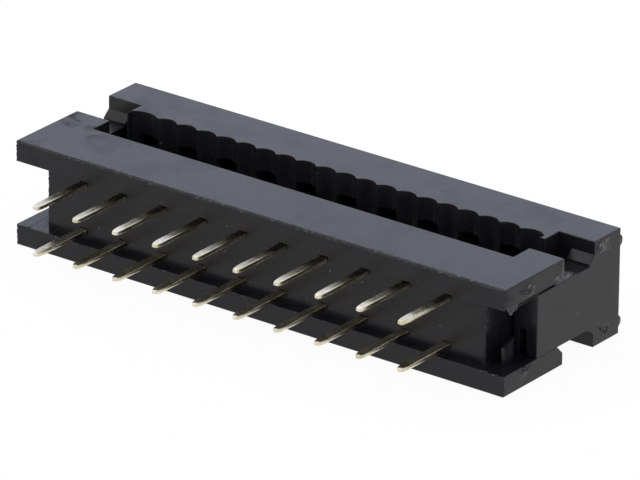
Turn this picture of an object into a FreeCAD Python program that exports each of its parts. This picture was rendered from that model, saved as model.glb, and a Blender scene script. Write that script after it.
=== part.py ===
import FreeCAD, Part
import os
from FreeCAD import Vector

# Insulation-displacement transition connector for flat ribbon cable, in millimetres.
# The connector lies on one long side, as it would on a bench. X runs along the rows of contacts,
# Y from the board towards the cover, Z across the rows. The origin is the middle of the pin field
# on the board's surface: the front rails of the base end in the plane Y = 0.

# Grid of the contacts and of the cable
columns = 10
pin_pitch = 2.54
row_spacing = 2.54
wires_per_column = 2

# Base housing: a rail beside each row of tails, a seat for the cable between two raised shoulders
rail_offset = 0.49
rail_width = 1.11
pin_face_recess = 0.62
cable_face_y = 3.65
slot_end_margin = 1.145
shoulder_length = 2.14
shoulder_height = 1.38
base_edge_radius = 0.06

# End channels of the base, where the cover's legs slide between two arms
channel_depth = 1.60
arm_chamfer_y = 0.42
arm_chamfer_z = 0.44

# Key: a thin rib with a sloping top on the lower arm of the right channel, which lets the cover on
# one way round only
key_setback = 0.75
key_thickness = 0.24
key_front_y = 1.13
key_length = 0.80
key_front_height = 0.93
key_back_height = 1.31
key_clearance = 0.10

# Cover, drawn in its open position, before the cable is crimped
cover_travel = 2.57
cover_bar_thickness = 2.25
comb_end_clearance = 0.03
crimp_gap = 0.18
cover_edge_radius = 0.06

# Wire grooves across the comb face of the cover, between the two end lands
comb_left_land = 0.06
comb_right_land = 0.30
comb_relief = 0.36
groove_depth = 0.28
groove_land = 0.12

# Legs of the cover
leg_wall_gap = 0.16
leg_arm_clearance = 0.06
leg_seat_gap = 0.21
leg_tip_chamfer = 0.12

# Small round nubs on the back of the cover, one near each corner
nub_width = 0.62
nub_height = 0.20
nub_length = 0.40
nub_inset = 0.67

# Contacts, stamped from flat strip: the solder tail
strip_thickness = 0.23
tail_width = 0.46
tail_length = 3.31
tail_taper = 0.90
tail_nose_width = 0.385
tail_nose_length = 0.30
tail_tip_width = 0.16
tail_tip_thickness = 0.13
tail_tip_bevel = 0.32

# Contacts: the barbed body inside the base and the fork that bites into the wire
body_seat_y = 1.23
body_margin = 0.35
body_top_inset = 0.32
barb_y = 2.13
barb_length = 0.30
barb_height = 0.05
fork_reach = 1.98
tine_width = 0.45
wire_slot = 0.25
wire_slot_inset = 0.22
fork_entry_depth = 0.45
fork_point_height = 0.40
fork_point_inset = 0.12
fork_point_land = 0.12

# Room around the contacts
strip_clearance = 0.03
tail_clearance = 0.05
tail_lead_in = 0.11
pocket_side_clearance = 0.06
pocket_face_clearance = 0.25
pocket_end_clearance = 0.20

# Sizes that follow from the ones above
wire_pitch = pin_pitch / wires_per_column
wires = columns * wires_per_column
row_z = row_spacing / 2
channel_half_height = row_z + rail_offset
half_width = channel_half_height + rail_width
slot_half = (wires - 1) * wire_pitch / 2 + slot_end_margin
half_length = slot_half + shoulder_length
shoulder_y = cable_face_y + shoulder_height
channel_wall_x = half_length - channel_depth
key_outer_x = half_length - key_setback
key_back_y = key_front_y + key_length
cover_front_y = shoulder_y + cover_travel
cover_back_y = cover_front_y + cover_bar_thickness
comb_y = cable_face_y + crimp_gap + cover_travel
comb_half = slot_half - comb_end_clearance
groove_y = comb_y + comb_relief
groove_field = (comb_left_land - comb_half, comb_half - comb_right_land)
leg_inner_x = channel_wall_x + leg_wall_gap
leg_half_height = channel_half_height - leg_arm_clearance
leg_tip_y = leg_seat_gap + cover_travel
fork_offset = wire_pitch / 2
fork_half = wire_slot / 2 + tine_width
fork_top_y = cable_face_y + fork_reach
body_top_y = cable_face_y - body_top_inset
body_far = fork_offset + fork_half

# Overshoot of the cutting solids, and how near two coordinates count as the same
cut_margin = 1.0
same_place = 1e-6


def box(x, y, z):
    """Block between two values on each axis, in any order."""
    low = Vector(min(x), min(y), min(z))
    return Part.makeBox(abs(x[1] - x[0]), abs(y[1] - y[0]), abs(z[1] - z[0]), low)


def through(half):
    """Span that cuts right through a part of that half size."""
    return (-half - cut_margin, half + cut_margin)


def polygon(points):
    """Closed wire through the points."""
    return Part.makePolygon(list(points) + [points[0]])


def prism(wire, along):
    """Solid swept by a closed flat wire."""
    return Part.Face(wire).extrude(along)


def wire_x(number):
    """Place of a wire of the cable, counted from 1."""
    return (number - (wires + 1) / 2) * wire_pitch


def contact_place(number):
    """Tail centre, row height and the side to which the fork is offset, for one wire.

    Odd wires go to the upper row and even wires to the lower one.
    """
    side = -1 if number % 2 else 1
    return wire_x(number) - side * fork_offset, -side * row_z, side


def outer_edges(shape, planes):
    """Straight edges of the shape that lie in two of the given planes at once."""
    found = []
    for edge in shape.Edges:
        if len(edge.Vertexes) != 2 or edge.Curve.TypeId != "Part::GeomLine":
            continue
        ends = [vertex.Point for vertex in edge.Vertexes]
        held = [1 for axis, value in planes
                if all(abs(getattr(point, axis) - value) < same_place for point in ends)]
        if len(held) == 2:
            found.append(edge)
    return found


def contact_cavity(number):
    """Slot for a contact: tail slot with a lead-in at the pin face, then the wider body slot."""
    x, z, side = contact_place(number)
    half_tail = tail_width / 2 + tail_clearance
    half_strip = strip_thickness / 2 + strip_clearance
    tail = box((x - half_tail, x + half_tail), (0, body_seat_y), (z - half_strip, z + half_strip))
    near = body_margin + barb_height + strip_clearance
    far = body_far + barb_height + strip_clearance
    body = box((x - side * near, x + side * far), (body_seat_y, cable_face_y + cut_margin),
               (z - half_strip, z + half_strip))
    mouths = []
    for grow, y in ((tail_lead_in, pin_face_recess), (0, pin_face_recess + tail_lead_in)):
        wide, high = half_tail + grow, half_strip + grow
        mouths.append(polygon([Vector(x - wide, y, z - high), Vector(x + wide, y, z - high),
                               Vector(x + wide, y, z + high), Vector(x - wide, y, z + high)]))
    lead_in = Part.makeLoft(mouths, True, True)
    return tail.fuse([body, lead_in])


def base_housing():
    """Base moulding: rails, recessed pin face, end channels between two arms, raised shoulders."""
    base = box((-half_length, half_length), (0, shoulder_y), (-half_width, half_width))
    cable_seat = box((-slot_half, slot_half), (cable_face_y, shoulder_y + cut_margin),
                     through(half_width))
    pin_face = box(through(half_length), (-cut_margin, pin_face_recess),
                   (-channel_half_height, channel_half_height))
    cuts = [cable_seat, pin_face]
    for side in (-1, 1):
        inner, outer = side * channel_wall_x, side * (half_length + cut_margin)
        cuts.append(box((inner, outer), through(shoulder_y),
                        (-channel_half_height, channel_half_height)))
        for up in (-1, 1):
            corner = [Vector(inner, shoulder_y, up * channel_half_height),
                      Vector(inner, shoulder_y - arm_chamfer_y, up * channel_half_height),
                      Vector(inner, shoulder_y, up * (channel_half_height + arm_chamfer_z))]
            cuts.append(prism(polygon(corner), Vector(outer - inner, 0, 0)))
    base = base.cut(cuts)
    planes = [("x", half_length), ("x", -half_length), ("y", 0), ("y", shoulder_y),
              ("z", half_width), ("z", -half_width)]
    base = base.makeFillet(base_edge_radius, outer_edges(base, planes))
    key_profile = [(key_front_y, 0), (key_front_y, key_front_height), (key_back_y, key_back_height),
                   (key_back_y, 0)]
    key = prism(polygon([Vector(key_outer_x, y, height - channel_half_height)
                         for y, height in key_profile]), Vector(-key_thickness, 0, 0))
    base = base.fuse(key)
    return base.cut([contact_cavity(number) for number in range(1, wires + 1)]).removeSplitter()


def leg(side):
    """One leg of the cover with its chamfered tip and the ramps at its root."""
    outer, inner = side * half_length, side * leg_inner_x
    tip = side * (half_length - leg_tip_chamfer)
    outline = [(outer, cover_front_y), (outer, leg_tip_y + leg_tip_chamfer), (tip, leg_tip_y),
               (inner, leg_tip_y), (inner, cover_front_y)]
    shape = prism(polygon([Vector(x, y, -leg_half_height) for x, y in outline]),
                  Vector(0, 0, 2 * leg_half_height))
    ramp_top = leg_half_height + arm_chamfer_z
    ramp = [(cover_front_y - arm_chamfer_y, leg_half_height), (cover_front_y, ramp_top),
            (cover_front_y, -ramp_top), (cover_front_y - arm_chamfer_y, -leg_half_height)]
    root = prism(polygon([Vector(inner, y, z) for y, z in ramp]), Vector(outer - inner, 0, 0))
    return shape.fuse(root)


def groove(number):
    """Rounded groove for one wire across the comb; the two end ones run out to the end lands."""
    half_chord = (wire_pitch - groove_land) / 2
    left, right = wire_x(number) - half_chord, wire_x(number) + half_chord
    if number == 1:
        left = groove_field[0]
    if number == wires:
        right = groove_field[1]
    low, high = through(half_width)
    start, end = Vector(left, groove_y, low), Vector(right, groove_y, low)
    middle = Vector((left + right) / 2, groove_y + groove_depth, low)
    edges = [Part.Arc(start, middle, end).toShape(), Part.makeLine(end, start)]
    return prism(Part.Wire(edges), Vector(0, 0, high - low))


def fork_pocket(number):
    """Blind pocket in the cover that takes the fork's tips when the cover is closed."""
    x, z, _ = contact_place(number)
    centre = wire_x(number)
    half_x = fork_half + pocket_side_clearance
    half_z = strip_thickness / 2 + pocket_face_clearance
    floor_y = fork_top_y + cover_travel + pocket_end_clearance
    return box((centre - half_x, centre + half_x), (comb_y - cut_margin, floor_y),
               (z - half_z, z + half_z))


def nub(side, up):
    """Low half-round nub on the back of the cover, flush with the end."""
    x, centre = side * half_length, half_width - nub_inset
    low, high = centre - nub_width / 2, centre + nub_width / 2
    start, end = Vector(x, cover_back_y, up * low), Vector(x, cover_back_y, up * high)
    top = Vector(x, cover_back_y + nub_height, up * centre)
    edges = [Part.Arc(start, top, end).toShape(), Part.makeLine(end, start)]
    return prism(Part.Wire(edges), Vector(-side * nub_length, 0, 0))


def cable_cover():
    """Cover moulding: back bar, comb with wire grooves and fork pockets, and two legs."""
    cover = box((-half_length, half_length), (cover_front_y, cover_back_y), (-half_width, half_width))
    comb = box((-comb_half, comb_half), (comb_y, cover_front_y), (-half_width, half_width))
    cover = cover.fuse([comb, leg(-1), leg(1)]).removeSplitter()
    planes = [("x", half_length), ("x", -half_length), ("y", cover_back_y), ("y", cover_front_y),
              ("z", half_width), ("z", -half_width)]
    cover = cover.makeFillet(cover_edge_radius, outer_edges(cover, planes))
    key_notch = box((leg_inner_x - cut_margin, key_outer_x + key_clearance),
                    (leg_tip_y - cut_margin, key_back_y + cover_travel + key_clearance),
                    (-channel_half_height, key_back_height + key_clearance - channel_half_height))
    relief = box(groove_field, (comb_y - cut_margin, groove_y), through(half_width))
    numbers = range(1, wires + 1)
    cuts = [key_notch, relief] + [groove(n) for n in numbers] + [fork_pocket(n) for n in numbers]
    cover = cover.cut(cuts)
    nubs = [nub(side, up) for side in (-1, 1) for up in (-1, 1)]
    return cover.fuse(nubs).removeSplitter()


def contact_outline(x, side):
    """Flat outline of a contact: bullet-shaped tail, barbed body and two-tined fork."""
    z = -strip_thickness / 2

    def at(u, y):
        return Vector(x + side * u, y, z)

    tail, nose, tip = tail_width / 2, tail_nose_width / 2, tail_tip_width / 2
    tip_y = -tail_length
    nose_y, taper_y = tip_y + tail_nose_length, tip_y + tail_taper
    left, right = fork_offset - fork_half, fork_offset + fork_half
    slot_left, slot_right = fork_offset - wire_slot / 2, fork_offset + wire_slot / 2
    slot_floor_y = cable_face_y - wire_slot_inset
    entry_y, points_y = fork_top_y - fork_entry_depth, fork_top_y - fork_point_height
    point_end = fork_point_inset + fork_point_land
    near = [at(-tail, taper_y), at(-tail, body_seat_y), at(-body_margin, body_seat_y),
            at(-body_margin, barb_y - barb_length), at(-body_margin - barb_height, barb_y),
            at(-body_margin, barb_y), at(-body_margin, body_top_y), at(left, body_top_y),
            at(left, points_y), at(left + fork_point_inset, fork_top_y),
            at(left + point_end, fork_top_y), at(slot_left, entry_y), at(slot_left, slot_floor_y)]
    far = [at(slot_right, slot_floor_y), at(slot_right, entry_y), at(right - point_end, fork_top_y),
           at(right - fork_point_inset, fork_top_y), at(right, points_y), at(right, barb_y),
           at(right + barb_height, barb_y), at(right, barb_y - barb_length),
           at(right, body_seat_y), at(tail, body_seat_y), at(tail, taper_y)]
    slot_arc = Part.Arc(near[-1], at(fork_offset, slot_floor_y - wire_slot / 2), far[0])
    tip_right = Part.Arc(at(tail, taper_y), at(nose, nose_y), at(tip, tip_y))
    tip_left = Part.Arc(at(-tip, tip_y), at(-nose, nose_y), at(-tail, taper_y))
    edges = Part.makePolygon(near).Edges + [slot_arc.toShape()] + Part.makePolygon(far).Edges
    edges += [tip_right.toShape(), Part.makeLine(at(tip, tip_y), at(-tip, tip_y)), tip_left.toShape()]
    return Part.Wire(Part.__sortEdges__(edges))


def contact(number):
    """One contact, its tail thinned towards the tip."""
    x, z, side = contact_place(number)
    blank = prism(contact_outline(x, side), Vector(0, 0, strip_thickness))
    reach = body_far + body_margin
    half, tip = strip_thickness / 2, tail_tip_thickness / 2
    profile = [(-tail_length, -tip), (tail_tip_bevel - tail_length, -half), (fork_top_y, -half),
               (fork_top_y, half), (tail_tip_bevel - tail_length, half), (-tail_length, tip)]
    envelope = prism(polygon([Vector(x - reach, y, height) for y, height in profile]),
                     Vector(2 * reach, 0, 0))
    shape = blank.common(envelope)
    shape.translate(Vector(0, 0, z))
    return shape


def only_solid(shape):
    """The one solid that a boolean result holds."""
    if len(shape.Solids) != 1:
        raise ValueError(f"expected one solid, found {len(shape.Solids)}")
    return shape.Solids[0]


parts = {"base_housing": only_solid(base_housing()), "cable_cover": only_solid(cable_cover())}
for wire_number in range(1, wires + 1):
    parts[f"contact_{wire_number:02d}"] = only_solid(contact(wire_number))

os.makedirs("parts", exist_ok=True)
for node, shape in parts.items():
    shape.exportStep(f"parts/{node}.step")
    print(f"{node}: valid {shape.isValid()}, volume {shape.Volume:.3f} mm3")
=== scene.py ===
import math

import bmesh
import bpy
from mathutils import Matrix, Vector, noise


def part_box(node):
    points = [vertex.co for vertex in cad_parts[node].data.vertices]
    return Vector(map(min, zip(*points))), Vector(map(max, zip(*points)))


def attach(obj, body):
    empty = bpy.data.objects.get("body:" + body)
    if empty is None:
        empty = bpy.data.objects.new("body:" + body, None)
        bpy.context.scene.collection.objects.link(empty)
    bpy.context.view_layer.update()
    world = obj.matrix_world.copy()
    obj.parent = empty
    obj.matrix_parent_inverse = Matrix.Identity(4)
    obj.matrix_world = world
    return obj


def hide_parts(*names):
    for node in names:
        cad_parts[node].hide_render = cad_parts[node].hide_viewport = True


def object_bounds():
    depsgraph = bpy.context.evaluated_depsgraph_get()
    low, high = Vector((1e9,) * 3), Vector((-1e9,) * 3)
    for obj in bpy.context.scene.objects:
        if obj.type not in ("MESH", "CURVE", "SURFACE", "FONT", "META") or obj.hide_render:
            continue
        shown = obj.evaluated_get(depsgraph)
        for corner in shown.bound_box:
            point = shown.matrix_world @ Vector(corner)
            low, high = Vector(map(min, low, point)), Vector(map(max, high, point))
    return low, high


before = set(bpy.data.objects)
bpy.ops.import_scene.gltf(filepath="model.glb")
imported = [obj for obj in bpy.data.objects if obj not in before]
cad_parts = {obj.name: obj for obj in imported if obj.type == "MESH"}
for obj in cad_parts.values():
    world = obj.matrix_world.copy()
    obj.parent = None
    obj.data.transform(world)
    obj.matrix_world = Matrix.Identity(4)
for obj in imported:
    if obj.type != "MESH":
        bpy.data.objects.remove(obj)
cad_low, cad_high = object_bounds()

# Contacts: twenty flat solder tails in two rows, each with a barbed body and a two-tined fork that bites
# into one wire of the ribbon cable. They are stamped from thin copper alloy strip, plated with pale tin,
# and pushed into the base from the cable side. Pieces are shaped in millimetres and shrunk at the end.
mm = 0.001
contact_count = 20
contact_half_thickness = 0.115
contact_body_x = (-0.35, 1.21)
contact_body_y = (1.23, 3.33)
contact_tail_half = 0.23
contact_tine_edges = (0.06, 0.51, 0.76, 1.21)
contact_barb_y = 2.13
contact_barb_height = 0.05
contact_barb_ramp = 0.30
contact_tail_offset = 0.40
contact_tine_shoulder_y = 5.23
contact_tine_point = 0.40
# How far the corners of the tine points move, by the place they start from
contact_tine_moves = {0.06: 0.12, 0.23: 0.01, 0.51: -0.21, 0.76: 0.21, 1.21: -0.12}
# Stations of the bullet-shaped tail end: distance from the board's surface, half width and half thickness
contact_tail_stations = ((2.60, 0.229, 0.115), (2.80, 0.223, 0.115), (2.98, 0.210, 0.113),
                         (3.12, 0.189, 0.110), (3.24, 0.158, 0.104), (3.32, 0.118, 0.094))
contact_edge_radius = 0.018
tail_round_radius = 0.055
tail_burr_radius = 0.02
smooth_angle = 35
# The strip's sheared edges are bright and ragged above this height
burr_z = 0.055
tin_pale = (0.79, 0.725, 0.595, 1)
tin_dull = (0.56, 0.515, 0.345, 1)
burr_pale = (0.70, 0.645, 0.51, 1)
burr_dull = (0.48, 0.44, 0.285, 1)


def make_node(tree, kind, settings=None, **sockets):
    """Shader node with its settings and the values of its sockets."""
    made = tree.nodes.new("ShaderNode" + kind)
    for name, value in (settings or {}).items():
        setattr(made, name, value)
    for name, value in sockets.items():
        made.inputs[name.replace("_", " ")].default_value = value
    return made


def colour_ramp(tree, stops):
    """Colour ramp with the given places and colours."""
    ramp = tree.nodes.new("ShaderNodeValToRGB")
    while len(ramp.color_ramp.elements) < len(stops):
        ramp.color_ramp.elements.new(0.5)
    for element, (place, colour) in zip(ramp.color_ramp.elements, stops):
        element.position = place
        element.color = colour
    return ramp


def plated_tin(name, dull, pale, smoothest, roughest):
    """Pale plated strip: rolled grain along the tail, slightly dull in patches."""
    material = bpy.data.materials.new(name)
    material.use_nodes = True
    tree = material.node_tree
    shader = tree.nodes["Principled BSDF"]
    shader.inputs["Metallic"].default_value = 1.0
    place = make_node(tree, "TexCoord")
    grain_place = make_node(tree, "Mapping", Scale=(7000, 350, 7000))
    grain = make_node(tree, "TexNoise", Scale=1.0, Detail=3.0, Roughness=0.6)
    patches = make_node(tree, "TexNoise", Scale=1100.0, Detail=3.0, Roughness=0.55)
    colour = colour_ramp(tree, ((0.36, dull), (0.60, pale)))
    rough = make_node(tree, "MapRange", From_Min=0.3, From_Max=0.7, To_Min=smoothest, To_Max=roughest)
    bump = make_node(tree, "Bump", Strength=0.5, Distance=0.000014)
    tree.links.new(place.outputs["Object"], grain_place.inputs["Vector"])
    tree.links.new(grain_place.outputs["Vector"], grain.inputs["Vector"])
    tree.links.new(place.outputs["Object"], patches.inputs["Vector"])
    tree.links.new(patches.outputs["Fac"], colour.inputs["Fac"])
    tree.links.new(patches.outputs["Fac"], rough.inputs["Value"])
    tree.links.new(grain.outputs["Fac"], bump.inputs["Height"])
    tree.links.new(colour.outputs["Color"], shader.inputs["Base Color"])
    tree.links.new(rough.outputs["Result"], shader.inputs["Roughness"])
    tree.links.new(bump.outputs["Normal"], shader.inputs["Normal"])
    return material


def near(value, target, room=0.004):
    """Whether two places are the same, within a little room."""
    return abs(value - target) < room


def only(item):
    """Makes the piece the one selected and active object."""
    bpy.ops.object.select_all(action="DESELECT")
    item.select_set(True)
    bpy.context.view_layer.objects.active = item


def new_block(name, x, y, z):
    """Block between two values on each axis, its place kept in its mesh."""
    bpy.ops.object.select_all(action="DESELECT")
    middle = [(low + high) / 2 for low, high in (x, y, z)]
    bpy.ops.mesh.primitive_cube_add(size=1.0, location=middle)
    item = bpy.context.object
    item.name = item.data.name = name
    item.scale = [high - low for low, high in (x, y, z)]
    bpy.ops.object.transform_apply(location=True, rotation=True, scale=True)
    return item


def edit(item):
    only(item)
    bpy.ops.object.mode_set(mode="EDIT")


def done():
    bpy.ops.object.mode_set(mode="OBJECT")


def pick(item, kind, want):
    """Selects the faces, edges or corners that the test keeps, in the piece being edited."""
    bpy.ops.mesh.select_mode(type=kind)
    bpy.ops.mesh.select_all(action="DESELECT")
    mesh = bmesh.from_edit_mesh(item.data)
    mesh.normal_update()
    for element in {"FACE": mesh.faces, "EDGE": mesh.edges, "VERT": mesh.verts}[kind]:
        if want(element):
            element.select_set(True)
    bmesh.update_edit_mesh(item.data)


def faces(item, direction, want):
    """Selects the faces that look in one direction and whose middle passes the test."""
    facing = Vector(direction)
    pick(item, "FACE", lambda face: face.normal.dot(facing) > 0.99 and want(face.calc_center_median()))


def corners(item, want):
    pick(item, "VERT", lambda corner: want(corner.co))


def score(axis, places):
    """Scores every face of the piece being edited along planes square to one axis."""
    for place in places:
        bpy.ops.mesh.select_mode(type="FACE")
        bpy.ops.mesh.select_all(action="SELECT")
        bpy.ops.mesh.bisect(plane_co=[place if n == axis else 0 for n in range(3)],
                            plane_no=[1 if n == axis else 0 for n in range(3)])


def extrude(*move):
    bpy.ops.mesh.extrude_region_move(TRANSFORM_OT_translate={"value": move, "orient_type": "GLOBAL"})


def shift(*move):
    bpy.ops.transform.translate(value=move, orient_type="GLOBAL")


def merge_flats():
    """Joins the flat faces that scoring and cutting have left, in the piece being edited."""
    bpy.ops.mesh.select_mode(type="FACE")
    bpy.ops.mesh.select_all(action="SELECT")
    bpy.ops.mesh.remove_doubles(threshold=0.0005)
    bpy.ops.mesh.dissolve_limited(angle_limit=math.radians(1.0))
    bpy.ops.mesh.select_all(action="SELECT")
    bpy.ops.mesh.normals_make_consistent(inside=False)


def apply(item, modifier):
    only(item)
    bpy.ops.object.modifier_apply(modifier=modifier.name)


def soften(item, radius_of, widest, segments=3):
    """Rounds each sharp edge by the radius that the rule gives it."""
    mesh = bmesh.new()
    mesh.from_mesh(item.data)
    layers = mesh.edges.layers.float
    weight = layers.get("bevel_weight_edge") or layers.new("bevel_weight_edge")
    for edge in mesh.edges:
        sharp = len(edge.link_faces) == 2 and edge.calc_face_angle() > math.radians(20)
        edge[weight] = radius_of(edge) / widest if sharp else 0.0
    mesh.to_mesh(item.data)
    mesh.free()
    modifier = item.modifiers.new("soft_edges", "BEVEL")
    modifier.limit_method = "WEIGHT"
    modifier.width = widest
    modifier.segments = segments
    modifier.use_clamp_overlap = False
    modifier.material = 1
    apply(item, modifier)


def finish_piece(item):
    """Shrinks the piece to metres and shades it smooth over its rounded edges."""
    only(item)
    item.scale = (mm, mm, mm)
    bpy.ops.object.transform_apply(location=True, rotation=True, scale=True)
    bpy.ops.object.shade_smooth_by_angle(angle=math.radians(smooth_angle))
    modifier = item.modifiers.new("even_shading", "WEIGHTED_NORMAL")
    modifier.keep_sharp = True
    apply(item, modifier)


contact = new_block("solder_contact", contact_body_x, contact_body_y,
                    (-contact_half_thickness, contact_half_thickness))
tin = plated_tin("plated_tin", tin_dull, tin_pale, 0.20, 0.27)
contact.data.materials.append(tin)
contact.data.materials.append(plated_tin("sheared_tin", burr_dull, burr_pale, 0.42, 0.54))
edit(contact)
score(0, (-contact_tail_half, contact_tine_edges[0], contact_tail_half) + contact_tine_edges[1:3])
score(1, (contact_barb_y - contact_barb_ramp, contact_barb_y))
faces(contact, (0, 1, 0), lambda middle: contact_tine_edges[0] < middle.x < contact_tine_edges[1]
      or contact_tine_edges[2] < middle.x < contact_tine_edges[3])
extrude(0, contact_tine_shoulder_y - contact_body_y[1], 0)
extrude(0, contact_tine_point, 0)
for edge_x, move in contact_tine_moves.items():
    corners(contact, lambda co: co.y > contact_tine_shoulder_y + 0.1 and near(co.x, edge_x))
    shift(move, 0, 0)
for barb_x, outward in ((contact_body_x[0], -1), (contact_body_x[1], 1)):
    corners(contact, lambda co: near(co.x, barb_x) and near(co.y, contact_barb_y))
    shift(outward * contact_barb_height, 0, 0)
faces(contact, (0, -1, 0), lambda middle: abs(middle.x) < contact_tail_half)
station_y, station_wide, station_thick = -contact_body_y[0], contact_tail_half, contact_half_thickness
for reach, wide, thick in contact_tail_stations:
    extrude(0, -(reach - station_y), 0)
    bpy.ops.transform.resize(value=(wide / station_wide, 1, thick / station_thick),
                             center_override=(0, -reach, 0))
    station_y, station_wide, station_thick = reach, wide, thick
merge_flats()
done()


def contact_radius(edge):
    """Rounding of the strip's edges: the punch rounds one face of the tail and leaves a burr on the other."""
    ends = [corner.co for corner in edge.verts]
    if all(end.y < contact_body_y[0] - 0.01 for end in ends) and abs(ends[0].y - ends[1].y) > 0.01:
        return tail_round_radius if ends[0].z < 0 else tail_burr_radius
    return contact_edge_radius


soften(contact, contact_radius, tail_round_radius)
edit(contact)
pick(contact, "FACE", lambda face: abs(face.normal.x) > 0.7)
bpy.ops.mesh.bisect(plane_co=(0, 0, burr_z), plane_no=(0, 0, 1))
done()
for face in contact.data.polygons:
    face.material_index = int(abs(face.normal.x) > 0.7 and face.center.z > burr_z)
finish_piece(contact)
for number in range(1, contact_count + 1):
    node = f"contact_{number:02d}"
    low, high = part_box(node)
    forward = number % 2 == 0
    tail_x = low.x + contact_tail_offset * mm if forward else high.x - contact_tail_offset * mm
    turn = Matrix.Identity(4) if forward else Matrix.Rotation(math.pi, 4, "Y")
    piece = contact.copy()
    piece.data = contact.data.copy()
    piece.name = piece.data.name = f"solder_contact_{number:02d}"
    piece.data.transform(Matrix.Translation((tail_x, 0, (low.z + high.z) / 2)) @ turn)
    bpy.context.collection.objects.link(piece)
    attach(piece, "base")
    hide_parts(node)
bpy.data.objects.remove(contact)

# Base: one black glass-filled polyester moulding that the contacts are pressed into. Two rails stand on the
# board with the recessed pin face between them, the cable lies on the seat at the back between two raised
# shoulders, and each end has a channel between two arms for a leg of the cover. A thin key is in one; its
# outer side is dulled as painted shade of the channel.
base_half_length = 15.35
base_half_width = 2.87
base_wall_x = 13.75
base_slot_x = 13.21
base_arm_z = 1.76
base_pin_face_y = 0.62
base_seat_y = 3.65
base_back_y = 5.03
base_chamfer = 0.46
base_outer_radius = 0.055
base_inner_radius = 0.045
base_rail_radius = 0.02
base_lip_radius = 0.012
key_x = (14.36, 14.60)
key_y = (1.13, 1.93)
key_top_z = (-0.83, -0.45)
cavity_tail = (0.238, 0.123)
cavity_flare = 0.03
cavity_clear_cut = 0.3
# How far the cutting tools reach past the moulding
cut_margin = 1
cavity_body_x = (-0.43, 1.29)
# Rubbed edges: the two faces that meet (axis, place, way into the plastic), the rounding, the steps that
# divide the edge, and the stretches of it that are worn ragged
base_rubbed_edges = (
    (((1, 0, 1), (2, base_half_width, -1)), 0.12, (20, 10), ((-15.25, 15.25),)),
    (((0, base_wall_x, -1), (1, base_pin_face_y, 1)), 0.11, (30,), ((-1.65, 1.65),)),
    (((0, base_half_length, -1), (1, 0, 1)), 0.09, (14,), ((1.86, 2.74), (-2.74, -1.86))),
    (((1, 0, 1), (2, -base_arm_z, -1)), 0.05, (20, 10), ((13.9, 15.2), (-15.2, -13.9))),
    (((0, -base_half_length, 1), (1, 0, 1)), 0.10, (14,), ((1.86, 2.74), (-2.74, -1.86))),
    (((0, -base_wall_x, 1), (1, base_pin_face_y, 1)), 0.08, (30,), ((-1.65, 1.65),)),
)
base_rubbed_jitter = 0.055
scatter_scale = 97
black_deep = (0.0086, 0.0086, 0.0108, 1)
black_worn = (0.0084, 0.0082, 0.0135, 1)
black_handled = (0.0115, 0.0117, 0.0130, 1)
base_gloss = 0.245
# Low specular level for the key's outer side: painted shade of the channel, not a finish of the plastic
key_painted_shade_gloss = 0.04
haze_roughness = 0.42
bloom_fade_x = (-15.0, -9.5)
bloom_far_share = 0.18
speck_grey = (0.16, 0.16, 0.165, 1)
chip_dull = (0.022, 0.022, 0.026, 1)
chip_pale = (0.13, 0.13, 0.135, 1)
rubbed_stops = ((0.52, black_worn), (0.60, chip_dull), (0.68, chip_pale))
torn_dull = (0.024, 0.024, 0.025, 1)
torn_pale = (0.16, 0.16, 0.16, 1)
torn_stops = ((0.36, black_worn), (0.50, torn_dull), (0.66, torn_pale))
# Torn and scraped patches: the face's direction, the stretch, its divisions, how far its corners move, the
# seed, the finish (1 rubbed, 2 torn) and the way in which they move if it isn't the face's own. In order:
# the upper gate, the lower gate, the flash that hangs from the upper right arm, the arm's back corner, and
# the scraped top of the lower left arm.
base_torn_patches = (
    ((1, 0, 0), (base_half_length, 1.35, 1.87), (base_half_length, 2.50, 2.52),
     11, (-0.01, 0.13), 3, 2, None),
    ((1, 0, 0), (base_half_length, 1.20, -2.16), (base_half_length, 2.30, -1.82),
     9, (-0.01, 0.12), 5, 2, None),
    ((1, 0, 0), (base_half_length, 0.10, 1.79), (base_half_length, 1.10, 1.99),
     10, (0.14, 0.38), 7, 2, (0.22, 0, -1)),
    ((1, 0, 0), (base_half_length, 4.20, 1.84), (base_half_length, 4.75, 2.10),
     6, (0.0, 0.10), 9, 2, None),
    ((0, 0, 1), (-15.28, 0.08, -base_arm_z), (-13.82, 2.60, -base_arm_z),
     12, (-0.015, 0.015), 11, 1, None),
)


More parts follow.
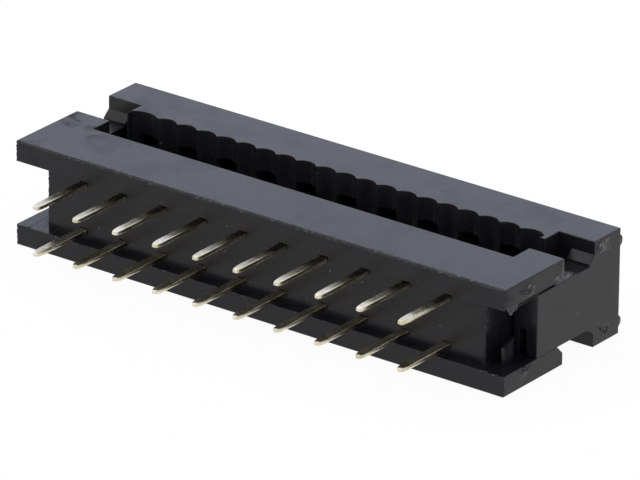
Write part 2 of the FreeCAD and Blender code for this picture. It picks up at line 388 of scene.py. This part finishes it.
def moulded_black(name, seed, gloss, left_share):
    """Black moulded plastic: fine grain, a few scuffs and pale specks, and the dull bloom that fingers leave.

    The given share of the bloom shows at the left end, and it fades to a small share past the corner.
    """
    material = bpy.data.materials.new(name)
    material.use_nodes = True
    tree = material.node_tree
    shader = tree.nodes["Principled BSDF"]
    shader.inputs["Specular IOR Level"].default_value = gloss
    place = make_node(tree, "TexCoord")
    moved = make_node(tree, "Mapping", Location=(seed, seed / 3, seed / 7))
    handling = make_node(tree, "TexNoise", Scale=330.0, Detail=5.0, Roughness=0.6, Distortion=0.9)
    bloom = make_node(tree, "MapRange", From_Min=0.45, From_Max=0.62)
    across = make_node(tree, "SeparateXYZ")
    share = make_node(tree, "MapRange", From_Min=bloom_fade_x[0] * mm, From_Max=bloom_fade_x[1] * mm,
                      To_Min=left_share, To_Max=bloom_far_share)
    amount = make_node(tree, "Math", {"operation": "MULTIPLY"})
    cloud = make_node(tree, "TexNoise", Scale=420.0, Detail=5.0, Roughness=0.6)
    grain = make_node(tree, "TexNoise", Scale=9000.0, Detail=4.0, Roughness=0.7)
    specks = make_node(tree, "TexNoise", Scale=6500.0, Detail=1.0, Roughness=0.4)
    scuff_place = make_node(tree, "Mapping", Scale=(500, 4500, 4500), Rotation=(0.2, 0.1, 0.35))
    scuffs = make_node(tree, "TexNoise", Scale=1.0, Detail=3.0, Roughness=0.5, Distortion=0.3)
    colour = colour_ramp(tree, ((0.0, black_deep), (1.0, black_handled)))
    speck_mask = colour_ramp(tree, ((0.790, (0, 0, 0, 1)), (0.810, (1, 1, 1, 1))))
    scuff_mask = colour_ramp(tree, ((0.66, (0, 0, 0, 1)), (0.80, (1, 1, 1, 1))))
    painted = make_node(tree, "Mix", {"data_type": "RGBA"})
    painted.inputs[7].default_value = speck_grey
    rough = make_node(tree, "MapRange", From_Min=0.3, From_Max=0.7, To_Min=0.20, To_Max=0.29)
    rougher = make_node(tree, "MapRange", From_Min=0.0, From_Max=1.0, To_Min=0.0, To_Max=0.10)
    total = make_node(tree, "Math", {"operation": "ADD"})
    hazed = make_node(tree, "Math", {"operation": "MULTIPLY_ADD"})
    hazed.inputs[1].default_value = haze_roughness
    bump = make_node(tree, "Bump", Strength=0.35, Distance=0.000012)
    link = tree.links.new
    link(place.outputs["Object"], moved.inputs["Vector"])
    for pattern in (cloud, grain, specks, handling):
        link(moved.outputs["Vector"], pattern.inputs["Vector"])
    link(place.outputs["Object"], scuff_place.inputs["Vector"])
    link(scuff_place.outputs["Vector"], scuffs.inputs["Vector"])
    link(handling.outputs["Fac"], bloom.inputs["Value"])
    link(place.outputs["Object"], across.inputs["Vector"])
    link(across.outputs["X"], share.inputs["Value"])
    link(bloom.outputs["Result"], amount.inputs[0])
    link(share.outputs["Result"], amount.inputs[1])
    link(amount.outputs["Value"], colour.inputs["Fac"])
    link(specks.outputs["Fac"], speck_mask.inputs["Fac"])
    link(scuffs.outputs["Fac"], scuff_mask.inputs["Fac"])
    link(speck_mask.outputs["Color"], painted.inputs[0])
    link(colour.outputs["Color"], painted.inputs[6])
    link(painted.outputs[2], shader.inputs["Base Color"])
    link(cloud.outputs["Fac"], rough.inputs["Value"])
    link(scuff_mask.outputs["Color"], rougher.inputs["Value"])
    link(rough.outputs["Result"], total.inputs[0])
    link(rougher.outputs["Result"], total.inputs[1])
    link(amount.outputs["Value"], hazed.inputs[0])
    link(total.outputs["Value"], hazed.inputs[2])
    link(hazed.outputs["Value"], shader.inputs["Roughness"])
    link(grain.outputs["Fac"], bump.inputs["Height"])
    link(bump.outputs["Normal"], shader.inputs["Normal"])
    return material


def worn_black(name, seed, stops):
    """Rubbed or torn black plastic: pale chips on a duller ground, by the stops of a ramp."""
    material = bpy.data.materials.new(name)
    material.use_nodes = True
    tree = material.node_tree
    shader = tree.nodes["Principled BSDF"]
    shader.inputs["Specular IOR Level"].default_value = 0.30
    place = make_node(tree, "TexCoord")
    moved = make_node(tree, "Mapping", Location=(seed, seed / 5, seed / 2))
    chips = make_node(tree, "TexNoise", Scale=4600.0, Detail=4.0, Roughness=0.7)
    chip_mask = colour_ramp(tree, stops)
    rough = make_node(tree, "MapRange", From_Min=0.3, From_Max=0.7, To_Min=0.30, To_Max=0.50)
    bump = make_node(tree, "Bump", Strength=0.6, Distance=0.00003)
    link = tree.links.new
    link(place.outputs["Object"], moved.inputs["Vector"])
    link(moved.outputs["Vector"], chips.inputs["Vector"])
    link(chips.outputs["Fac"], chip_mask.inputs["Fac"])
    link(chip_mask.outputs["Color"], shader.inputs["Base Color"])
    link(chips.outputs["Fac"], rough.inputs["Value"])
    link(rough.outputs["Result"], shader.inputs["Roughness"])
    link(chips.outputs["Fac"], bump.inputs["Height"])
    link(bump.outputs["Normal"], shader.inputs["Normal"])
    return material


def mark_worn(item, wanted):
    """Keeps the rubbed finish on those rounded edges only that the test wants."""
    for face in item.data.polygons:
        face.material_index = int(face.material_index == 1 and wanted(face.center))


def near_planes(point, planes, room):
    """How many of the planes the point lies close to."""
    return sum(near(point[axis], value, room) for axis, value in planes)


def join(item, tool, operation="DIFFERENCE"):
    """Cuts a tool's shape out of the piece, or welds it on, and throws the tool away."""
    modifier = item.modifiers.new("join", "BOOLEAN")
    modifier.operation = operation
    modifier.solver = "EXACT"
    modifier.object = tool
    apply(item, modifier)
    bpy.data.objects.remove(tool)


def copy_of(tool, matrix):
    """Copy of a tool with its own mesh, moved and turned."""
    made = tool.copy()
    made.data = tool.data.copy()
    made.data.transform(matrix)
    bpy.context.collection.objects.link(made)
    return made


def on_planes(edge, planes):
    """How many of the planes both ends of the edge lie in."""
    ends = [corner.co for corner in edge.verts]
    return sum(all(near(end[axis], value) for end in ends) for axis, value in planes)


def scatter(place, low, high, seed):
    """A number between low and high that depends on the place alone, so that every run is the same."""
    share = 0.5 + 1.2 * noise.noise(Vector(place) * scatter_scale + Vector((seed, 0, 0)))
    return low + (high - low) * min(1, max(0, share))


def ragged(item, planes, radius, cuts, stretches, jitter):
    """Divides a rounded edge along its length and moves its corners a little, as rubbing leaves it."""
    run = 3 - planes[0][0] - planes[1][0]

    def in_band(place):
        return all(near(place[axis], value, radius + 0.01) for axis, value, _ in planes)

    edit(item)
    for steps in cuts:
        pick(item, "EDGE", lambda edge: abs(edge.verts[0].co[run] - edge.verts[1].co[run]) > 0.5
             and all(in_band(corner.co) for corner in edge.verts))
        bpy.ops.mesh.subdivide(number_cuts=steps)
    done()
    for corner in item.data.vertices:
        place = corner.co
        if in_band(place) and any(low < place[run] < high for low, high in stretches):
            flat = [near(place[axis], value, 0.001) for axis, value, _ in planes]
            start = place.copy()
            for (axis, _, inward), stays, other in zip(planes, flat, flat[::-1]):
                if stays:
                    continue
                if other:
                    place[axis] += scatter(start, -jitter, jitter, axis)
                else:
                    place[axis] += inward * scatter(start, 0, jitter / 2, axis)


def roughen(item, facing, low, high, cuts, heights, seed, material, push):
    """Tears a patch of a flat face: the stretch from low to high is divided and its corners are moved."""
    direction = Vector(facing)
    axis = max(range(3), key=lambda n: abs(facing[n]))
    across = [n for n in range(3) if n != axis]

    def on_face(face):
        reach = [[corner.co[n] for corner in face.verts] for n in across]
        return (face.normal.dot(direction) > 0.99 and near(face.calc_center_median()[axis], low[axis], 0.01)
                and all(min(spread) < high[n] - 0.001 and max(spread) > low[n] + 0.001
                        for n, spread in zip(across, reach)))

    def depth(place):
        """How far a point lies inside the uneven outline that fills the stretch, 0 on its rim."""
        ragged_rim = 0.9 * noise.noise(Vector(place) * 4.0 + Vector((seed, 0, 0)))
        oval = sum(((2 * place[n] - low[n] - high[n]) / (high[n] - low[n])) ** 2 for n in across)
        return 1 + ragged_rim - oval

    def inside(place):
        return near(place[axis], low[axis], 0.001) and all(low[n] < place[n] < high[n] for n in across)

    edit(item)
    for n in across:
        for value in (low[n], high[n]):
            pick(item, "FACE", on_face)
            bpy.ops.mesh.bisect(plane_co=[value if m == n else 0 for m in range(3)],
                                plane_no=[1 if m == n else 0 for m in range(3)])
    pick(item, "FACE", lambda face: on_face(face) and inside(face.calc_center_median()))
    bpy.ops.mesh.subdivide(number_cuts=cuts)
    mesh = bmesh.from_edit_mesh(item.data)
    for face in mesh.faces:
        middle = face.calc_center_median()
        if (face.normal.dot(direction) > 0.99 and inside(middle)
                and depth(middle) > scatter(middle, 0, 0.3, seed)):
            face.material_index = material
    for corner in mesh.verts:
        if inside(corner.co) and depth(corner.co) > 0:
            start = corner.co.copy()
            height = scatter(start, *heights, seed) * min(1, 2.5 * depth(start))
            corner.co += Vector(push or facing) * height
            for n in across:
                corner.co[n] += scatter(start, -0.3, 0.3, seed + n + 1) * (high[n] - low[n]) / (cuts + 1)
    bmesh.update_edit_mesh(item.data)
    done()


base = new_block("base_moulding", (-base_wall_x, base_wall_x), (base_pin_face_y, base_seat_y),
                 (-base_half_width, base_half_width))
base_plastic = moulded_black("black_base_plastic", 0.11, base_gloss, 1.0)
base.data.materials.append(base_plastic)
base.data.materials.append(worn_black("worn_base_plastic", 0.31, rubbed_stops))
torn_plastic = worn_black("torn_plastic", 0.59, torn_stops)
base.data.materials.append(torn_plastic)
base.data.materials.append(moulded_black("key_plastic_painted_shade", 0.77, key_painted_shade_gloss, 0.2))
edit(base)
score(2, (-base_arm_z, base_arm_z))
score(0, (-base_slot_x, base_slot_x))
faces(base, (0, -1, 0), lambda middle: abs(middle.z) > base_arm_z)
extrude(0, -base_pin_face_y, 0)
faces(base, (0, 1, 0), lambda middle: abs(middle.x) > base_slot_x)
extrude(0, base_back_y - base_seat_y, 0)
for side in (-1, 1):
    faces(base, (side, 0, 0), lambda middle: middle.x * side > base_wall_x - 0.1
          and abs(middle.z) > base_arm_z)
    extrude(side * (base_half_length - base_wall_x), 0, 0)
merge_flats()
done()

# Chamfers at the back of the arms, which the cover's ramps close over
chamfer_bar = new_block("chamfer_bar", (0, base_half_length - base_wall_x + cut_margin),
                        (-cut_margin, cut_margin), (-cut_margin, 0))
for side in (-1, 1):
    for up in (-1, 1):
        start = base_wall_x if side > 0 else -base_half_length - cut_margin
        turn = Matrix.Rotation(math.radians(135 if up < 0 else 45), 4, "X")
        middle = Vector((start, base_back_y - base_chamfer / 2, up * (base_arm_z + base_chamfer / 2)))
        join(base, copy_of(chamfer_bar, Matrix.Translation(middle) @ turn))
bpy.data.objects.remove(chamfer_bar)
edit(base)
merge_flats()
done()

base_hull = ((0, base_half_length), (0, -base_half_length), (1, 0), (1, base_back_y),
             (2, base_half_width), (2, -base_half_width))
base_lips = ((0, base_half_length), (0, -base_half_length), (2, -base_arm_z))


def base_edge_radius(edge):
    """Rounding of the base's edges: largest where handling has rubbed them, none in the inner corners."""
    if not edge.is_convex:
        return 0
    for planes, radius, _, _ in base_rubbed_edges:
        if on_planes(edge, [plane[:2] for plane in planes]) == 2:
            return radius
    if on_planes(edge, base_hull) == 2:
        return base_outer_radius
    if on_planes(edge, base_lips) == 2:
        return base_lip_radius
    return base_rail_radius if on_planes(edge, ((1, 0), (2, base_arm_z))) == 2 else base_inner_radius


base_widest = max(radius for _, radius, _, _ in base_rubbed_edges)
soften(base, base_edge_radius, base_widest)
mark_worn(base, lambda middle: near_planes(middle, base_hull, base_widest + 0.005) == 2
          or any(near_planes(middle, [plane[:2] for plane in planes], radius + 0.005) == 2
                 for planes, radius, _, _ in base_rubbed_edges))
for planes, radius, cuts, stretches in base_rubbed_edges:
    ragged(base, planes, radius, cuts, stretches, base_rubbed_jitter)

key = new_block("key", key_x, key_y, (-base_arm_z - 0.2, key_top_z[1]))
edit(key)
corners(key, lambda co: near(co.y, key_y[0]) and near(co.z, key_top_z[1]))
shift(0, 0, key_top_z[0] - key_top_z[1])
done()
soften(key, lambda edge: base_inner_radius, base_inner_radius, segments=2)
edit(key)
bpy.ops.mesh.select_all(action="SELECT")
bpy.ops.mesh.quads_convert_to_tris()
done()
for material in base.data.materials:
    key.data.materials.append(material)
# The key's outer side gets a low specular level, which paints the channel's shade onto it
for face in key.data.polygons:
    if face.normal.x > 0.9:
        face.material_index = 3
join(base, key, "UNION")

# Slots that the contacts stand in
cavity = new_block("cavity", cavity_body_x, (contact_body_y[0], base_seat_y + cut_margin),
                   (-cavity_tail[1], cavity_tail[1]))
edit(cavity)
score(0, (-cavity_tail[0], cavity_tail[0]))
faces(cavity, (0, -1, 0), lambda middle: abs(middle.x) < cavity_tail[0])
extrude(0, base_pin_face_y + cavity_flare - contact_body_y[0], 0)
extrude(0, -cavity_flare, 0)
bpy.ops.transform.resize(value=(1 + cavity_flare / cavity_tail[0], 1, 1 + cavity_flare / cavity_tail[1]),
                         center_override=(0, base_pin_face_y, 0))
extrude(0, -cavity_clear_cut, 0)
merge_flats()
done()
for number in range(1, contact_count + 1):
    low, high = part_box(f"contact_{number:02d}")
    forward = number % 2 == 0
    tail_x = low.x / mm + contact_tail_offset if forward else high.x / mm - contact_tail_offset
    turn = Matrix.Identity(4) if forward else Matrix.Rotation(math.pi, 4, "Y")
    middle = (tail_x, 0, (low.z + high.z) / 2 / mm)
    join(base, copy_of(cavity, Matrix.Translation(middle) @ turn))
bpy.data.objects.remove(cavity)

for patch in base_torn_patches:
    roughen(base, *patch)
finish_piece(base)
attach(base, "base")
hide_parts("base_housing")

# Cover: the second black moulding, pushed half way on as it is supplied. A thick bar joins the comb, whose
# rounded grooves hold the wires and whose pockets take the fork tips, and a leg at each end slides in the
# channels of the base. Low half-round nubs stand on the back near the corners.
cover_gloss = 0.27
cover_front_y = 7.61
cover_back_y = 9.85
cover_comb_y = 6.40
cover_comb_x = 13.18
cover_leg_x = 13.91
cover_leg_z = (-1.75, 1.65)
cover_leg_tip_y = 2.78
cover_ramp_z = 2.16
cover_ramp_y = 0.43
cover_ramp_foot_z = 1.77
cover_groove_y = 6.76
cover_groove_x = (-13.12, 12.88)
cover_groove_depth = 0.28
cover_groove_half = 0.575
cover_groove_end_trim = 0.04
cover_radius = 0.06
cover_back_radius = 0.03
cover_inner_radius = 0.04
cover_lip_radius = 0.012
leg_tip_radius = 0.05
comb_edge_radius = 0.025
key_notch_x = (key_x[0] - 0.10, key_x[1] + 0.10)
key_notch_end_y = 4.60
key_notch_top_z = -0.35
wire_pitch = 1.27
row_height = 1.27
pocket_half = (0.635, 0.365)
pocket_end_y = 8.40
nub_radius = 0.34
nub_height = 0.20
nub_reach = 0.40
nub_centre_z = 2.20
nub_edge_radius = 0.04
# Torn patches, as on the base: the lower gate, the upper gate, and the spot on top of the right leg
cover_torn_patches = (
    ((1, 0, 0), (base_half_length, 8.05, -2.50), (base_half_length, 8.95, -1.80),
     10, (-0.08, 0.10), 13, 2, None),
    ((1, 0, 0), (base_half_length, 7.68, 2.06), (base_half_length, 9.00, 2.78),
     13, (0.0, 0.05), 15, 2, None),
    ((0, 0, 1), (14.55, 5.20, cover_leg_z[1]), (15.28, 6.25, cover_leg_z[1]),
     9, (-0.03, 0.06), 17, 2, None),
)

cover = new_block("cover_moulding", (-base_half_length, base_half_length), (cover_front_y, cover_back_y),
                  (-base_half_width, base_half_width))
cover_plastic = moulded_black("black_cover_plastic", 0.47, cover_gloss, 0.3)
cover.data.materials.append(cover_plastic)
cover.data.materials.append(worn_black("worn_cover_plastic", 0.83, rubbed_stops))
cover.data.materials.append(torn_plastic)
edit(cover)
score(0, (-cover_leg_x, -cover_comb_x, cover_comb_x, cover_leg_x))
score(2, (-cover_ramp_z, cover_ramp_z))
faces(cover, (0, -1, 0), lambda middle: abs(middle.x) < cover_comb_x)
extrude(0, cover_comb_y - cover_front_y, 0)
faces(cover, (0, -1, 0), lambda middle: abs(middle.x) > cover_leg_x and abs(middle.z) < cover_ramp_z)
extrude(0, -cover_ramp_y, 0)
for edge_z, leg_z in zip((-cover_ramp_z, cover_ramp_z), (cover_leg_z[0], cover_ramp_foot_z)):
    corners(cover, lambda co: near(co.y, cover_front_y - cover_ramp_y) and near(co.z, edge_z)
            and abs(co.x) > cover_leg_x - 0.01)
    shift(0, 0, leg_z - edge_z)
score(2, cover_leg_z[1:])
faces(cover, (0, -1, 0), lambda middle: abs(middle.x) > cover_leg_x
      and near(middle.y, cover_front_y - cover_ramp_y) and middle.z < cover_leg_z[1])
extrude(0, cover_leg_tip_y - cover_front_y + cover_ramp_y, 0)
merge_flats()
done()

join(cover, new_block("relief", cover_groove_x, (cover_comb_y - cut_margin, cover_groove_y),
                      (-base_half_width - cut_margin, base_half_width + cut_margin)))
join(cover, new_block("key_notch", key_notch_x, (cover_leg_tip_y - cut_margin, key_notch_end_y),
                      (cover_leg_z[0] - cut_margin / 2, key_notch_top_z)))
# Rounded grooves for the wires; those at the two ends reach almost to the comb's lands
groove_radius = (cover_groove_half ** 2 + cover_groove_depth ** 2) / (2 * cover_groove_depth)
bpy.ops.object.select_all(action="DESELECT")
bpy.ops.mesh.primitive_cylinder_add(vertices=56, radius=groove_radius, location=(0, 0, 0),
                                    depth=2 * (base_half_width + cut_margin))
groove = bpy.context.object
edit(groove)
bpy.ops.mesh.select_all(action="SELECT")
bpy.ops.mesh.bisect(plane_co=(0, groove_radius - cover_groove_depth - 0.01, 0), plane_no=(0, 1, 0),
                    use_fill=True, clear_inner=True)
done()
for number in range(1, contact_count + 1):
    wire_x = (number - (contact_count + 1) / 2) * wire_pitch
    left, right = wire_x - cover_groove_half, wire_x + cover_groove_half
    if number == 1:
        left = cover_groove_x[0] + cover_groove_end_trim
    if number == contact_count:
        right = cover_groove_x[1] - cover_groove_end_trim
    widen = (right - left) / (2 * cover_groove_half)
    middle = ((left + right) / 2, cover_groove_y + cover_groove_depth - groove_radius, 0)
    join(cover, copy_of(groove, Matrix.Translation(middle) @ Matrix.Diagonal((widen, 1, 1, 1))))
bpy.data.objects.remove(groove)
edit(cover)
merge_flats()
done()

cover_hull = ((0, base_half_length), (0, -base_half_length), (1, cover_back_y), (1, cover_front_y),
              (2, base_half_width), (2, -base_half_width))


def cover_edge_radius(edge):
    """Rounding of the cover's edges: none in inner corners, small on the comb, larger outside."""
    if not edge.is_convex:
        return 0
    if on_planes(edge, ((1, cover_back_y), (2, base_half_width))) == 2:
        return cover_back_radius
    if on_planes(edge, ((0, base_half_length), (0, -base_half_length), (2, cover_leg_z[0]))) == 2:
        return cover_lip_radius
    ends = [corner.co for corner in edge.verts]
    if all(near(abs(end.x), base_half_length) and near(end.y, cover_leg_tip_y) for end in ends):
        return leg_tip_radius
    if on_planes(edge, cover_hull) == 2:
        return cover_radius
    if all(abs(end.x) < cover_comb_x + 0.01 and end.y < cover_front_y - 0.05 for end in ends):
        return comb_edge_radius if all(near(abs(end.z), base_half_width) for end in ends) else 0
    return cover_inner_radius


soften(cover, cover_edge_radius, max(cover_radius, leg_tip_radius))
mark_worn(cover, lambda middle: near_planes(middle, cover_hull, cover_radius + 0.005) == 2)

# Pockets that take the fork tips, one in each groove
pocket = new_block("pocket", (-pocket_half[0], pocket_half[0]), (cover_comb_y - cut_margin, pocket_end_y),
                   (-pocket_half[1], pocket_half[1]))
for number in range(1, contact_count + 1):
    wire_x = (number - (contact_count + 1) / 2) * wire_pitch
    pocket_z = row_height if number % 2 else -row_height
    join(cover, copy_of(pocket, Matrix.Translation((wire_x, 0, pocket_z))))
bpy.data.objects.remove(pocket)

# Nubs near the corners of the back
for side in (-1, 1):
    for up in (-1, 1):
        bpy.ops.object.select_all(action="DESELECT")
        bpy.ops.mesh.primitive_cylinder_add(
            vertices=40, radius=nub_radius, depth=nub_reach,
            location=(side * (base_half_length - 0.01 - nub_reach / 2),
                      cover_back_y + nub_height - nub_radius, up * nub_centre_z),
            rotation=(0, math.pi / 2, 0))
        nub = bpy.context.object
        bpy.ops.object.transform_apply(location=True, rotation=True, scale=True)
        soften(nub, lambda edge: nub_edge_radius, nub_edge_radius, segments=2)
        join(cover, nub, "UNION")
for patch in cover_torn_patches:
    roughen(cover, *patch)
finish_piece(cover)
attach(cover, "cover")
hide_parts("cable_cover")

# Studio: the connector lies on a white sweep in a white room, under a broad soft lamp, with a bluish one
# behind that the top faces mirror. The floor keeps a faint contact shadow. The camera stands where the
# photograph was taken, far off and with a long lens.
camera_place = Vector((221.286, -290.193, 160.537)) * mm
camera_azimuth = math.radians(36.818)
camera_elevation = math.radians(23.548)
camera_roll = math.radians(0.482)
camera_lens = 449.0
# Soft lamps: name, place, size, power and colour
softboxes = (("top_softbox", (-0.10, -0.04, 0.22), 0.25, 0.14, (1, 1, 1)),
             ("back_softbox", (-0.22, 0.30, 0.19), 0.35, 0.22, (0.39, 0.53, 1.0)))
lamp_aim = Vector((0, 0.004, 0))
room_light = 0.9
floor_grey = (0.92, 0.92, 0.92, 1)
floor_glow_share = 0.94

camera_data = bpy.data.cameras.new("photo_camera")
camera_data.lens = camera_lens
camera_data.sensor_width = 36.0
camera = bpy.data.objects.new("photo_camera", camera_data)
bpy.context.collection.objects.link(camera)
looking = Vector((-math.sin(camera_azimuth) * math.cos(camera_elevation),
                  math.cos(camera_azimuth) * math.cos(camera_elevation), -math.sin(camera_elevation)))
camera.matrix_world = (Matrix.Translation(camera_place)
                       @ looking.to_track_quat("-Z", "Y").to_matrix().to_4x4()
                       @ Matrix.Rotation(camera_roll, 4, "Z"))
bpy.context.scene.camera = camera

for lamp_name, lamp_place, lamp_size, lamp_power, lamp_colour in softboxes:
    lamp_data = bpy.data.lights.new(lamp_name, "AREA")
    lamp_data.shape = "SQUARE"
    lamp_data.size = lamp_size
    lamp_data.energy = lamp_power
    lamp_data.color = lamp_colour
    lamp = bpy.data.objects.new(lamp_name, lamp_data)
    lamp.location = lamp_place
    lamp.rotation_euler = (lamp_aim - lamp.location).to_track_quat("-Z", "Y").to_euler()
    lamp.visible_camera = False
    bpy.context.collection.objects.link(lamp)

world = bpy.data.worlds.new("white_room")
bpy.context.scene.world = world
world.use_nodes = True
room = world.node_tree
room.nodes["Background"].inputs["Color"].default_value = (1, 1, 1, 1)
room.nodes["Background"].inputs["Strength"].default_value = room_light
rays = make_node(room, "LightPath")
seen = make_node(room, "Math", {"operation": "MAXIMUM"})
seen_through = make_node(room, "Math", {"operation": "MAXIMUM"})
white = make_node(room, "Background", Color=(1, 1, 1, 1), Strength=1.0)
choice = make_node(room, "MixShader")
room.links.new(rays.outputs["Is Camera Ray"], seen.inputs[0])
room.links.new(rays.outputs["Is Glossy Ray"], seen.inputs[1])
room.links.new(seen.outputs["Value"], seen_through.inputs[0])
room.links.new(rays.outputs["Is Transmission Ray"], seen_through.inputs[1])
room.links.new(seen_through.outputs["Value"], choice.inputs["Fac"])
room.links.new(room.nodes["Background"].outputs["Background"], choice.inputs[1])
room.links.new(white.outputs["Background"], choice.inputs[2])
room.links.new(choice.outputs["Shader"], room.nodes["World Output"].inputs["Surface"])

bpy.ops.object.select_all(action="DESELECT")
bpy.ops.mesh.primitive_plane_add(size=4.0, location=(0, 0, cad_low.z))
floor = bpy.context.object
floor.name = "floor"
floor_material = bpy.data.materials.new("white_sweep")
floor_material.use_nodes = True
sweep = floor_material.node_tree
sweep.nodes["Principled BSDF"].inputs["Base Color"].default_value = floor_grey
sweep.nodes["Principled BSDF"].inputs["Roughness"].default_value = 0.9
floor_rays = make_node(sweep, "LightPath")
floor_seen = make_node(sweep, "Math", {"operation": "MAXIMUM"})
glow_share = make_node(sweep, "Math", {"operation": "MULTIPLY"})
glow_share.inputs[1].default_value = floor_glow_share
glow = make_node(sweep, "Emission", Color=(1, 1, 1, 1), Strength=1.0)
floor_mix = make_node(sweep, "MixShader")
sweep.links.new(floor_rays.outputs["Is Camera Ray"], floor_seen.inputs[0])
sweep.links.new(floor_rays.outputs["Is Glossy Ray"], floor_seen.inputs[1])
sweep.links.new(floor_seen.outputs["Value"], glow_share.inputs[0])
sweep.links.new(glow_share.outputs["Value"], floor_mix.inputs["Fac"])
sweep.links.new(sweep.nodes["Principled BSDF"].outputs["BSDF"], floor_mix.inputs[1])
sweep.links.new(glow.outputs["Emission"], floor_mix.inputs[2])
sweep.links.new(floor_mix.outputs["Shader"], sweep.nodes["Material Output"].inputs["Surface"])
floor.data.materials.append(floor_material)

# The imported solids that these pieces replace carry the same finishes
for name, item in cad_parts.items():
    item.data.materials.clear()
    if name.startswith("contact"):
        item.data.materials.append(tin)
    else:
        item.data.materials.append(cover_plastic if name == "cable_cover" else base_plastic)

bpy.context.scene.view_settings.view_transform = "Standard"
